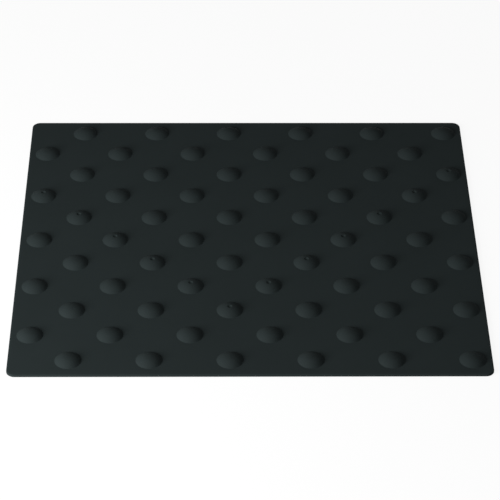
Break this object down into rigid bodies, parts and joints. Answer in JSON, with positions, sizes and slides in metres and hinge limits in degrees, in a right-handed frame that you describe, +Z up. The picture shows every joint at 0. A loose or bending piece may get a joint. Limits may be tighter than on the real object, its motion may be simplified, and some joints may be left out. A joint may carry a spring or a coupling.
{
  "type": "adhesive tactile warning strip",
  "caption": "Thin flat moulded tile with staggered rows of round domes, glued down by its flat underside so that feet and canes can feel the edge of a platform or kerb ahead.",
  "frame": {"origin": "middle of the underside, the face that is glued down", "axes": "+X along the rows of domes, +Y from the front edge to the back edge, +Z up, the way the domes stand"},
  "size_m": [0.45, 0.417, 0.0074],
  "materials": {
    "moulded_rubber": "matte"
  },
  "bodies": {
    "root": {"tactile_strip": "moulded_rubber"}
  },
  "joints": []
}
